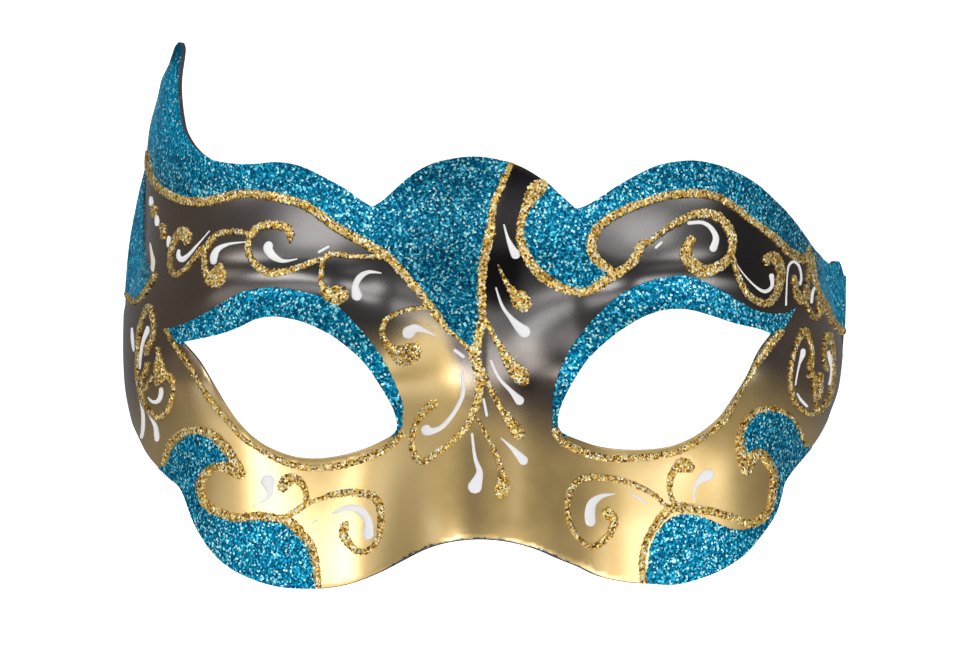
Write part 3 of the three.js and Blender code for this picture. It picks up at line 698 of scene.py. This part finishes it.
def depth_in_stroke(stroke, px, py, deepest):
    """Raises `deepest` to how far each pixel is inside the stroke, as a share of its half width."""
    line = spline(filled(stroke, GOLD_SPREAD), 5)
    line[:, 2] /= 2
    reach = line[:, 2].max() + 2
    near = np.flatnonzero(
        (px > line[:, 0].min() - reach) & (px < line[:, 0].max() + reach)
        & (py > line[:, 1].min() - reach) & (py < line[:, 1].max() + reach))
    x, y = px[near], py[near]
    best = np.full(len(near), -9.0)
    for (ax, ay, ar), (bx, by, br) in zip(line[:-1], line[1:]):
        dx, dy = bx - ax, by - ay
        t = np.clip(((x - ax) * dx + (y - ay) * dy) / max(dx * dx + dy * dy, 1e-9), 0, 1)
        radius = ar + (br - ar) * t
        best = np.maximum(best, 1 - np.hypot(x - ax - t * dx, y - ay - t * dy) / radius)
    deepest[near] = np.maximum(deepest[near], best)


class Sheet:
    """A jittered triangular grid over the whole unrolled face, from which the coats are cut."""

    def __init__(self, edges, grain, seed):
        rng = np.random.default_rng(seed)
        column, row = grain * 0.86, grain * math.sqrt(3) / 2
        rise = SHEET_RISE + 1
        self.rows, self.columns = int(2 * rise / row), int(2 * SHEET_REACH / column)
        y, x = np.meshgrid(np.arange(self.rows), np.arange(self.columns), indexing="ij")
        x = (x + (y % 2) * 0.5) * column - SHEET_REACH
        y = y * row - rise
        jitter = rng.uniform(-0.3, 0.3, (2,) + x.shape)
        self.sheet = np.stack([x + jitter[0] * column, y + jitter[1] * row], -1).reshape(-1, 2)
        self.noise = rng.uniform(-1, 1, len(self.sheet))
        self.rank = rng.random(len(self.sheet))
        limit = rim_across(np.where(self.sheet[:, 0] < 0, -1.0, 1.0), self.sheet[:, 1])
        self.usable = np.flatnonzero(np.abs(self.sheet[:, 0]) < limit + grain)
        inset, nearest = edges.inset(self.sheet[self.usable])
        # Points just outside the edge of the mask are drawn onto it, so that a coat ends flush.
        snap = inset < 0.5 * grain
        move = self.usable[snap]
        self.sheet[move] = edges.points[nearest[snap]] - edges.out[nearest[snap]] * 0.05
        self.usable = self.usable[inset > -0.75 * grain]
        self.point = np.zeros((len(self.sheet), 3))
        self.normal = np.zeros((len(self.sheet), 3))
        places = self.sheet[self.usable]
        self.point[self.usable] = front_point(places[:, 0], places[:, 1])
        self.normal[self.usable] = front_normal(places[:, 0], places[:, 1])
        self.px, self.py = np.full((2, len(self.sheet)), -999.0)
        self.px[self.usable], self.py[self.usable] = to_photo(self.point[self.usable])

    def triangles(self, chosen):
        """Triangles of the grid whose three corners are chosen."""
        i = np.arange(self.rows * self.columns).reshape(self.rows, self.columns)
        a, b, c, d = i[:-1, :-1], i[:-1, 1:], i[1:, :-1], i[1:, 1:]
        even = (np.arange(self.rows - 1) % 2 == 0)[:, None] & np.ones_like(a, bool)
        first = np.where(even[..., None], np.stack([a, b, c], -1), np.stack([a, b, d], -1))
        second = np.where(even[..., None], np.stack([b, d, c], -1), np.stack([a, d, c], -1))
        faces = np.vstack([first.reshape(-1, 3), second.reshape(-1, 3)])
        faces = faces[chosen[faces].all(axis=1)]
        p = self.sheet[faces]
        ab, ac = p[:, 1] - p[:, 0], p[:, 2] - p[:, 0]
        return faces[ab[:, 0] * ac[:, 1] - ab[:, 1] * ac[:, 0] > 1e-4]

    def coat(self, chosen, height):
        """A closed coat over the chosen points: points, faces and the grain each face belongs to."""
        faces = self.triangles(chosen)
        grain = faces[np.arange(len(faces)), np.argmax(self.rank[faces], axis=1)]
        used, index = np.unique(faces, return_inverse=True)
        faces = index.reshape(-1, 3)
        top = self.point[used] + self.normal[used] * height[used, None]
        root = self.point[used] - self.normal[used] * COAT_ROOT
        for layer in (top, root):
            layer[:, 2] = np.maximum(layer[:, 2], TABLE_GAP)
        sides = np.vstack([faces[:, [0, 1]], faces[:, [1, 2]], faces[:, [2, 0]]])
        keys = {(a, b) for a, b in sides.tolist()}
        border = np.array([(a, b) for a, b in keys if (b, a) not in keys])
        border = border[np.lexsort((border[:, 1], border[:, 0]))]
        n = len(used)
        a, b = border[:, 0], border[:, 1]
        walls = np.vstack([np.stack([b, a, a + n], -1), np.stack([b, a + n, b + n], -1)])
        grain = np.concatenate([grain, used[a], used[a], grain])
        return np.vstack([top, root]), np.vstack([faces, walls, faces[:, ::-1] + n]), grain


def glitter(name, sheet, chosen, height, palette, shares, lift, material, seed):
    """A coat of flakes; each flake is the triangles round one corner and has one colour of the palette.
    `shares` holds the cumulative share of each colour at every point of the sheet, `lift` its brightness."""
    verts, faces, grain = sheet.coat(chosen, height)
    piece = finished(name, verts, faces, [material], flat=True)
    rng = np.random.default_rng(seed)
    pick = np.sum(rng.random(len(sheet.sheet))[:, None] > shares[..., :-1], axis=-1)
    tint = np.array(palette)[pick] * rng.uniform(0.8, 1.2, (len(sheet.sheet), 1)) * lift
    face_colour(piece, "flake", tint[grain])


# Materials


class Nodes:
    """Shorthand for building one material's node tree."""

    def __init__(self, name):
        self.material = bpy.data.materials.new(name)
        self.material.use_nodes = True
        self.tree = self.material.node_tree
        self.shader = self.tree.nodes["Principled BSDF"]
        self.place = self.tree.nodes.new("ShaderNodeTexCoord").outputs["Object"]

    def add(self, kind, out=0, settings=None, **inputs):
        node = self.tree.nodes.new("ShaderNode" + kind)
        for key, value in (settings or {}).items():
            setattr(node, key, value)
        for key, value in inputs.items():
            numbered = key[0] == "i" and key[1:].isdigit()
            self.plug(value, node.inputs[int(key[1:]) if numbered else key])
        return node.outputs[out]

    def plug(self, value, socket):
        if hasattr(value, "is_output"):
            self.tree.links.new(value, socket)
        else:
            socket.default_value = value

    def set(self, **inputs):
        for key, value in inputs.items():
            self.plug(value, self.shader.inputs[key.replace("_", " ")])

    def attribute(self, name, out="Fac"):
        return self.add("Attribute", out, {"attribute_name": name})

    def noise(self, scale, detail=2.0, roughness=0.5):
        return self.add("TexNoise", Vector=self.place, Scale=scale, Detail=detail, Roughness=roughness)

    def cells(self, scale, out="Distance"):
        return self.add("TexVoronoi", out, Vector=self.place, Scale=scale)

    def ramp(self, value, *stops):
        node = self.tree.nodes.new("ShaderNodeValToRGB")
        self.tree.links.new(value, node.inputs[0])
        ramp = node.color_ramp
        while len(ramp.elements) < len(stops):
            ramp.elements.new(0.5)
        for element, (position, colour) in zip(ramp.elements, stops):
            element.position = position
            element.color = (*colour, 1) if isinstance(colour, tuple) else (colour, colour, colour, 1)
        return node.outputs[0]

    def mix(self, factor, first, second, blend="MIX"):
        node = self.tree.nodes.new("ShaderNodeMix")
        node.data_type = "RGBA"
        node.blend_type = blend
        for value, socket in ((factor, node.inputs[0]), (first, node.inputs[6]), (second, node.inputs[7])):
            if isinstance(value, tuple) and len(value) == 3:
                value = (*value, 1)
            self.plug(value, socket)
        return node.outputs[2]

    def math(self, operation, first, second=0.5):
        return self.add("Math", 0, {"operation": operation}, i0=first, i1=second)

    def bump(self, height, strength, distance):
        self.set(Normal=self.add("Bump", Height=height, Strength=strength, Distance=distance))


def shell_paint():
    """Satin gold with airbrushed brown and black, painted shade down the nose and in the fold beside the
    plain eye, fine spatter along the fade and a worn nose arch.
    """
    n = Nodes("satin_gold_soot_and_shade_paint")
    soot_and_shade, jet_and_shade = n.attribute("soot_and_shade"), n.attribute("jet_and_shade")
    grain = n.noise(5200.0, 2.0)
    cloud = n.noise(60.0, 3.0)
    spatter = n.math("MULTIPLY", n.math("SUBTRACT", grain, 0.5), 1.2)
    drift = n.math("MULTIPLY", n.math("SUBTRACT", cloud, 0.5), 0.25)
    fade = n.math("MULTIPLY", soot_and_shade, n.math("SUBTRACT", 1.0, soot_and_shade))
    uneven = n.math("MULTIPLY", n.math("ADD", spatter, drift), n.math("MULTIPLY", fade, 3.0))
    mixed = n.add("Clamp", Value=n.math("ADD", soot_and_shade, uneven))
    gold = n.ramp(cloud, (0.3, (0.72, 0.485, 0.150)), (0.7, (0.82, 0.565, 0.185)))
    black = n.mix(n.attribute("warm"), (0.014, 0.010, 0.009), (0.155, 0.085, 0.036))
    # The black carries painted shade too: a stripe down the nose and the fold beside the plain eye
    paint = n.mix(mixed, gold, n.mix(jet_and_shade, black, (0.012, 0.010, 0.010)))
    specks = n.ramp(n.cells(420.0), (0.035, 1.0), (0.05, 0.0))
    paint = n.mix(n.math("MULTIPLY", specks, 0.5), paint, (0.5, 0.47, 0.42))
    rough_line = n.math("MULTIPLY", n.math("SUBTRACT", n.noise(700.0, 3.0), 0.5), 0.9)
    worn = n.ramp(n.math("ADD", n.attribute("rim"), rough_line), (0.12, 1.0), (0.24, 0.0))
    chips = n.ramp(n.noise(1100.0, 3.0, 0.7), (0.52, (0.045, 0.040, 0.038)), (0.60, (0.50, 0.45, 0.36)))
    n.set(Base_Color=n.mix(worn, paint, chips), Metallic=0.88, Coat_Roughness=0.26, Coat_IOR=2.0)
    n.set(Coat_Weight=n.math("SUBTRACT", 1.0, n.math("MULTIPLY", jet_and_shade, 0.95)))
    satin = n.ramp(n.noise(240.0, 4.0), (0.2, 0.33), (0.8, 0.40))
    n.set(Roughness=n.math("SUBTRACT", satin, n.math("MULTIPLY", soot_and_shade, 0.10)))
    n.bump(n.noise(900.0, 3.0), 0.06, 0.0004)
    return n.material


def raw_edge():
    n = Nodes("dark_cut_edge")
    chips = n.ramp(n.noise(420.0, 4.0, 0.7), (0.60, (0.030, 0.027, 0.027)), (0.66, (0.42, 0.38, 0.30)))
    dark = n.ramp(n.noise(90.0), (0.3, (0.018, 0.018, 0.022)), (0.7, (0.06, 0.055, 0.055)))
    n.set(Base_Color=n.mix(0.75, chips, dark), Roughness=n.ramp(n.noise(300.0), (0.3, 0.45), (0.7, 0.62)))
    n.bump(n.noise(700.0, 4.0), 0.25, 0.0003)
    return n.material


def inside_lacquer():
    n = Nodes("matt_black_inside")
    colour = n.ramp(n.noise(35.0, 5.0), (0.3, (0.016, 0.015, 0.016)), (0.72, (0.045, 0.042, 0.042)))
    n.set(Base_Color=colour, Roughness=n.ramp(n.noise(160.0, 3.0), (0.3, 0.5), (0.7, 0.68)))
    n.bump(n.noise(500.0, 5.0), 0.3, 0.0006)
    return n.material


def glitter_flakes(name, cell_scale, deep, gloss, metal):
    """Flakes in their own colours, some of them dulled by the deep colour between them."""
    n = Nodes(name)
    flake = n.attribute("flake", "Color")
    cells = n.add("RGBToBW", Color=n.cells(cell_scale, "Color"))
    shade = n.mix(0.4, flake, n.mix(1.0, flake, n.ramp(cells, (0.2, 0.3), (0.8, 1.0)), "MULTIPLY"))
    shade = n.mix(n.ramp(n.noise(260.0, 3.0), (0.5, 0.0), (0.8, 0.35)), shade, deep)
    n.set(Base_Color=shade, Metallic=metal, Specular_IOR_Level=0.08)
    n.set(Roughness=n.ramp(n.cells(cell_scale * 0.7), (0.1, gloss), (0.6, gloss + 0.2)))
    n.bump(n.cells(cell_scale), 0.15, 0.0002)
    return n.material


def brush_white(name, colour):
    """Opaque brushed paint, a little brighter in places."""
    n = Nodes(name)
    shade = n.ramp(n.noise(180.0, 3.0), (0.3, colour), (0.7, tuple(min(c * 1.06, 0.93) for c in colour)))
    n.set(Base_Color=shade, Roughness=n.ramp(n.noise(300.0), (0.3, 0.30), (0.7, 0.42)))
    n.bump(n.noise(420.0, 3.0), 0.12, 0.0003)
    return n.material


# The shell


verts, faces, kinds, to_edge = shell_mesh()
low, high = verts.min(axis=0), verts.max(axis=0)
SHIFT = np.array([-(low[0] + high[0]) / 2, -(low[1] + high[1]) / 2, -low[2]])


def camera_over_the_face():
    data = bpy.data.cameras.new("camera")
    data.sensor_width = SENSOR
    data.lens = SENSOR * CAMERA_Z / (PIXEL * PHOTO_WIDTH)
    data.clip_start, data.clip_end = 0.05, 20
    camera = bpy.data.objects.new("camera", data)
    camera.location = (np.array([CAMERA_X, CAMERA_Y, CAMERA_Z]) + SHIFT) * MM
    bpy.context.scene.collection.objects.link(camera)
    bpy.context.scene.camera = camera


def paint_amounts(points, to_edge):
    """How black and how brown each point is, how deep a black without sheen, and its gap to worn edges;
    painted shade darkens a stripe down the nose and the fold beside the plain eye.
    """
    px, py = to_photo(points)
    xs, ys, widths = np.array(SOOT_EDGE, float).T
    middle, soft = np.interp(px, xs, ys), np.interp(px, xs, widths)
    # Painted shade: the dark stripe down the nose joins the airbrushed black
    stripe = bell(px - NOSE_SHADE_X, NOSE_SHADE_HALF) * smooth(*NOSE_SHADE_Y, py)
    soot_and_shade = np.maximum(smooth(middle + soft, middle - soft, py), NOSE_SHADE_DEPTH * stripe)
    warm = 0.05 + smooth(*HORN_TEMPLE_X, px) + smooth(*PLAIN_TEMPLE_X, px) + smooth(*LOWER_HALF_Y, py)
    warm += 0.6 * smooth(*BRIDGE_Y, py) * bell(px - BRIDGE_X, BRIDGE_HALF)
    jet_and_shade = np.maximum.reduce([
        smooth(*JET_SOFT, distance_to_path(JET_STRIP, px, py)),
        0.6 * smooth(*JET_TEMPLE_X, px) * smooth(*JET_TEMPLE_Y, py),
        # Painted shade in the fold beside the plain eye, darkening a crease that the form lights
        0.75 * bell(distance_to_path(PAINTED_FOLD_SHADE, px, py), PAINTED_FOLD_SHADE_HALF)])
    arch = smooth(*ARCH_HALF, np.abs(points[:, 0])) * smooth(*ARCH_TOP, points[:, 1])
    return soot_and_shade, np.clip(warm, 0, 1), jet_and_shade, to_edge * (1 - 0.5 * arch) + 0.2 * (1 - arch)


camera_over_the_face()
paints = [shell_paint(), raw_edge(), inside_lacquer()]
shell = finished("painted_mask_shell", verts, faces, paints, kinds)
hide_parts("mask_shell")
for key, values in zip(("soot_and_shade", "warm", "jet_and_shade", "rim"), paint_amounts(verts, to_edge)):
    point_value(shell, key, values)


# Glitter


TEAL_PALETTE = [
    (0.0, 0.07, 0.15), (0.001, 0.17, 0.32), (0.01, 0.38, 0.60), (0.10, 0.66, 0.88), (0.52, 1.0, 1.0)]
DENSE_SHARES, SPARSE_SHARES = [0.31, 0.34, 0.16, 0.09, 0.10], [0.06, 0.58, 0.28, 0.05, 0.03]
FIELD_LIFT = {
    "horn": 1.0, "crest": 1.0, "horn_lid": 1.5, "plain_lid": 1.25, "horn_cheek": 1.2, "plain_cheek": 1.2,
    "horn_strip": 0.95, "tip": 0.9}
GOLD_PALETTE = [(0.20, 0.085, 0.010), (0.64, 0.37, 0.065), (1.0, 0.76, 0.27), (1.0, 0.96, 0.72)]
GOLD_SHARES = [0.18, 0.32, 0.32, 0.18]


def blue_glitter(edges):
    """The eight blue fields, each a coat of its own."""
    material = glitter_flakes("blue_glitter", 2300.0, (0.002, 0.055, 0.11), 0.25, 0.65)
    sheet = Sheet(edges, TEAL_GRAIN, TEAL_SEED)
    px, py = sheet.px[:, None], sheet.py[:, None]
    plain = smooth(*HORN_Y, py) * smooth(*HORN_X, px) + smooth(*STRIP_X, px) + smooth(*TIP_X, px)
    plain = np.clip(plain, 0, 1)
    dense, sparse = np.cumsum(DENSE_SHARES), np.cumsum(SPARSE_SHARES)
    shares = dense + plain * (sparse - dense)
    shares += smooth(*HORN_POINT_Y, py) * (1 - shares)
    # Painted light: the plain fields on the horn, strip and tip are brightened for light the lamps don't
    # bring them
    lift = 1 + 0.65 * plain - 0.35 * bell(px - WEDGE_X, WEDGE_HALF)
    facing = np.clip(sheet.normal[:, 2] * 1.4, 0.15, 1)
    height = TEAL_COAT + sheet.noise * TEAL_RELIEF * facing
    usable = sheet.usable
    for k, (name, field) in enumerate(TEAL_FIELDS.items()):
        chosen = np.zeros(len(sheet.sheet), bool)
        chosen[usable] = is_inside(spline(field, 4, closed=True), sheet.px[usable], sheet.py[usable])
        glitter("blue_glitter_" + name, sheet, chosen, height, TEAL_PALETTE, shares,
                lift * FIELD_LIFT[name], material, FLAKE_SEED + k)


def gold_glitter(edges):
    """All the gold scrolls as one coat, piped as a ragged bead."""
    material = glitter_flakes("gold_glitter", 2600.0, (0.18, 0.075, 0.008), 0.25, 0.85)
    sheet = Sheet(edges, GOLD_GRAIN, GOLD_SEED)
    deepest = np.full(len(sheet.sheet), -9.0)
    for stroke in GOLD_LINES:
        depth_in_stroke(stroke, sheet.px, sheet.py, deepest)
    deepest += sheet.noise * GOLD_RAGGED
    bead = np.sqrt(np.clip(1 - (1 - np.clip(deepest, 0, 1)) ** 2, 0, 1))
    height = GOLD_COAT + GOLD_BEAD * bead + sheet.noise * GOLD_RELIEF
    glitter("gold_glitter_scrolls", sheet, deepest > 0, height, GOLD_PALETTE, np.cumsum(GOLD_SHARES),
            1.0, material, SCROLL_SEED)


edges = Edges()
blue_glitter(edges)
gold_glitter(edges)


# White brush strokes


CROSS = np.array([(-1.0, 0.0), (-0.8, 0.75), (-0.35, 1.0), (0.35, 1.0), (0.8, 0.75), (1.0, 0.0)])
CAPS = np.array([1.0, 0.92, 0.7, 0.38, 0.08])


def stroke_stations(stroke):
    """Middles, half widths and ways across a stroke, station by station, with a round cap at each end."""
    line = evenly(spline(filled(stroke, WHITE_SPREAD), 8), WHITE_STEP)
    along = np.gradient(line[:, :2], axis=0)
    along /= np.linalg.norm(along, axis=1, keepdims=True)
    radius = line[:, 2] / 2
    narrow = np.sqrt(1 - CAPS ** 2 * 0.99)
    first = line[0, :2] - along[0] * radius[0] * CAPS[:, None]
    last = line[-1, :2] + along[-1] * radius[-1] * CAPS[::-1, None]
    half = np.concatenate([radius[0] * narrow, radius[1:-1], radius[-1] * narrow[::-1]])
    repeats = np.ones(len(line), int)
    repeats[[0, -1]] = len(CAPS)
    along = np.repeat(along, repeats, axis=0)
    return np.vstack([first, line[1:-1, :2], last]), half, np.stack([along[:, 1], -along[:, 0]], -1)


def brush_strokes(name, strokes, material):
    """Low domed ribbons with round ends, each a closed solid set into the paint."""
    verts, faces, total = [], [], 0
    for stroke in strokes:
        middle, half, side = stroke_stations(stroke)
        px = middle[:, None, 0] + side[:, None, 0] * half[:, None] * CROSS[:, 0]
        py = middle[:, None, 1] + side[:, None, 1] * half[:, None] * CROSS[:, 0]
        across, y = on_sheet(px, py)
        point, normal = front_point(across, y), front_normal(across, y)
        rise = WHITE_COAT * CROSS[:, 1] * np.minimum(1, half[:, None] / THIN_STROKE)
        top = point + normal * rise[..., None]
        root = point - normal * COAT_ROOT
        for layer in (top, root):
            layer[..., 2] = np.maximum(layer[..., 2], TABLE_GAP)
        count = px.size
        ids = np.arange(count).reshape(px.shape) + total
        quads = np.stack([ids[:-1, :-1], ids[1:, :-1], ids[1:, 1:], ids[:-1, 1:]], -1).reshape(-1, 4)
        rim = np.concatenate([ids[0, :-1], ids[:-1, -1], ids[-1, :0:-1], ids[:0:-1, 0]])
        beside = np.roll(rim, -1)
        walls = np.stack([rim, beside, beside + count, rim + count], -1)
        faces.append(np.vstack([quads, quads[:, ::-1] + count, walls]))
        verts.append(np.vstack([top.reshape(-1, 3), root.reshape(-1, 3)]))
        total += 2 * count
    finished(name, np.vstack(verts), np.vstack(faces), [material])


brush_strokes("white_brush_strokes", WHITE_STROKES, brush_white("white_brush_paint", (0.82, 0.81, 0.81)))
# A darker cream copy of the white paint, painted shade on the stroke at the steep horn-side temple
brush_strokes("shaded_white_brush_stroke", SHADED_WHITE_STROKES, brush_white("shaded_white_brush_paint", (0.72, 0.64, 0.53)))


# Stage and light


def stage():
    mesh = bpy.data.meshes.new("floor")
    mesh.from_pydata([(-3, -3, 0), (3, -3, 0), (3, 3, 0), (-3, 3, 0)], [], [(0, 1, 2, 3)])
    n = Nodes("pale_floor")
    n.set(Base_Color=(0.86, 0.86, 0.86, 1), Roughness=0.8)
    n.set(Emission_Color=(1, 1, 1, 1), Emission_Strength=0.85)
    mesh.materials.append(n.material)
    floor = bpy.data.objects.new("floor", mesh)
    bpy.context.scene.collection.objects.link(floor)
    floor.visible_glossy = False


BOX_DISTANCE = 1.2
# Soft boxes as (name, azimuth, tilt from straight above, size, glow), all facing the mask
SOFT_BOXES = [
    ("back_box", 90, 80, 0.60, 3.8), ("brow_box", 98, 57, 0.50, 1.2), ("brow_left_box", 130, 56, 0.40, 3.6),
    ("brow_right_box", 60, 55, 0.40, 3.2), ("left_box", 180, 50, 0.40, 1.1),
    ("upper_left_box", 205, 26, 0.35, 7.4), ("far_left_box", 230, 60, 0.50, 1.0),
    ("low_left_box", 249, 40, 0.35, 2.4), ("chin_far_box", 300, 70, 0.50, 1.4),
    ("low_right_box", 304, 42, 0.35, 4.6), ("upper_right_box", 320, 22, 0.35, 4.3),
    ("right_box", 330, 50, 0.35, 5.2), ("forehead_box", 40, 30, 0.30, 0.8)]


def soft_box(name, azimuth, tilt, size, glow):
    """A square soft box with an even glow, facing the mask."""
    a, t = math.radians(azimuth), math.radians(tilt)
    place = Vector((math.sin(t) * math.cos(a), math.sin(t) * math.sin(a), math.cos(t))) * BOX_DISTANCE
    data = bpy.data.lights.new(name, "AREA")
    data.shape = "SQUARE"
    data.size = size
    data.energy = glow * math.pi * size * size
    lamp = bpy.data.objects.new(name, data)
    lamp.location = place
    lamp.rotation_euler = (-place).to_track_quat("-Z", "Y").to_euler()
    bpy.context.scene.collection.objects.link(lamp)


def lights():
    for box in SOFT_BOXES:
        soft_box(*box)
    world = bpy.data.worlds.new("room")
    world.use_nodes = True
    world.node_tree.nodes["Background"].inputs[0].default_value = (0.17, 0.17, 0.175, 1)
    world.node_tree.nodes["Background"].inputs[1].default_value = 1.0
    bpy.context.scene.world = world


stage()
lights()
bpy.context.scene.view_settings.view_transform = "Standard"
